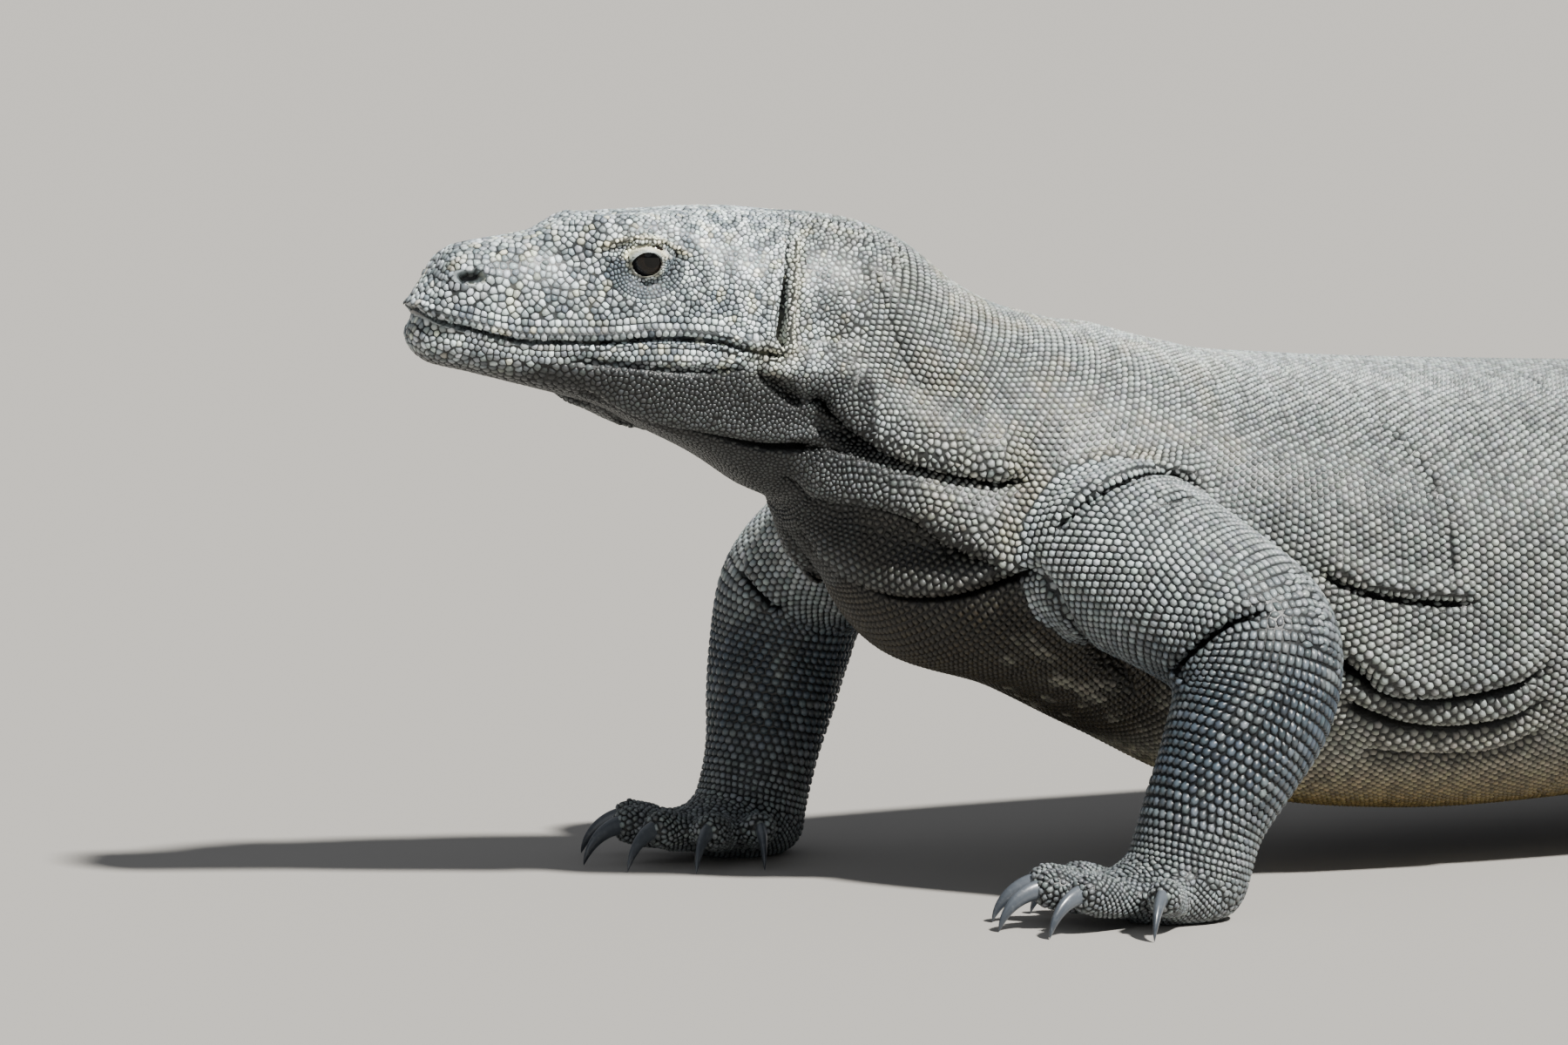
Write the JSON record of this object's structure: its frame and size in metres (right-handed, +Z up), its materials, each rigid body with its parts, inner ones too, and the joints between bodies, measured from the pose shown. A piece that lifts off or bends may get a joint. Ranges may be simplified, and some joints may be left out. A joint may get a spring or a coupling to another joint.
{
  "type": "komodo dragon",
  "caption": "Life-size komodo dragon standing with its head raised, still, with parted head, neck, trunk, tail, legs, eyes and claws.",
  "frame": {"origin": "on the floor, under the middle of the whole animal's box", "axes": "+X towards the tip of the tail, -Y is the animal's left side, +Z up"},
  "size_m": [2.3874, 0.6826, 0.3746],
  "materials": {
    "head_skin": "pebbly scales, satin, blue-grey with cream between",
    "jaw_skin": "small flat scales, satin, dark brown-grey",
    "neck_skin": "beaded scales in rows, satin, grey with tan between",
    "body_skin": "fine beaded scales in rows, satin, warm grey, ochre belly",
    "tail_skin": "keeled scales in rings, satin, dark grey-brown",
    "leg_skin": "squarish scales in rows, satin, dark slate blue",
    "foot_skin": "banded scales, satin, dusty brown-grey",
    "claw": "polished horn, slate grey",
    "eye": "wet glossy eye, dark brown iris"
  },
  "bodies": {
    "root": {"head": "head_skin", "lower_jaw": "jaw_skin", "neck": "neck_skin", "trunk_front": "body_skin", "trunk_rear": "body_skin", "tail_base": "tail_skin", "tail_front": "tail_skin", "tail_rear": "tail_skin", "tail_tip": "tail_skin", "foreleg_left_upper": "leg_skin", "foreleg_left_lower": "leg_skin", "forefoot_left": "foot_skin", "claw_fore_left_1": "claw", "claw_fore_left_2": "claw", "claw_fore_left_3": "claw", "claw_fore_left_4": "claw", "claw_fore_left_5": "claw", "foreleg_right_upper": "leg_skin", "foreleg_right_lower": "leg_skin", "forefoot_right": "foot_skin", "claw_fore_right_1": "claw", "claw_fore_right_2": "claw", "claw_fore_right_3": "claw", "claw_fore_right_4": "claw", "claw_fore_right_5": "claw", "hindleg_left_thigh": "leg_skin", "hindleg_left_shank": "leg_skin", "hindfoot_left": "foot_skin", "claw_hind_left_1": "claw", "claw_hind_left_2": "claw", "claw_hind_left_3": "claw", "claw_hind_left_4": "claw", "claw_hind_left_5": "claw", "hindleg_right_thigh": "leg_skin", "hindleg_right_shank": "leg_skin", "hindfoot_right": "foot_skin", "claw_hind_right_1": "claw", "claw_hind_right_2": "claw", "claw_hind_right_3": "claw", "claw_hind_right_4": "claw", "claw_hind_right_5": "claw", "eye_left": "eye", "eye_right": "eye"}
  },
  "joints": []
}
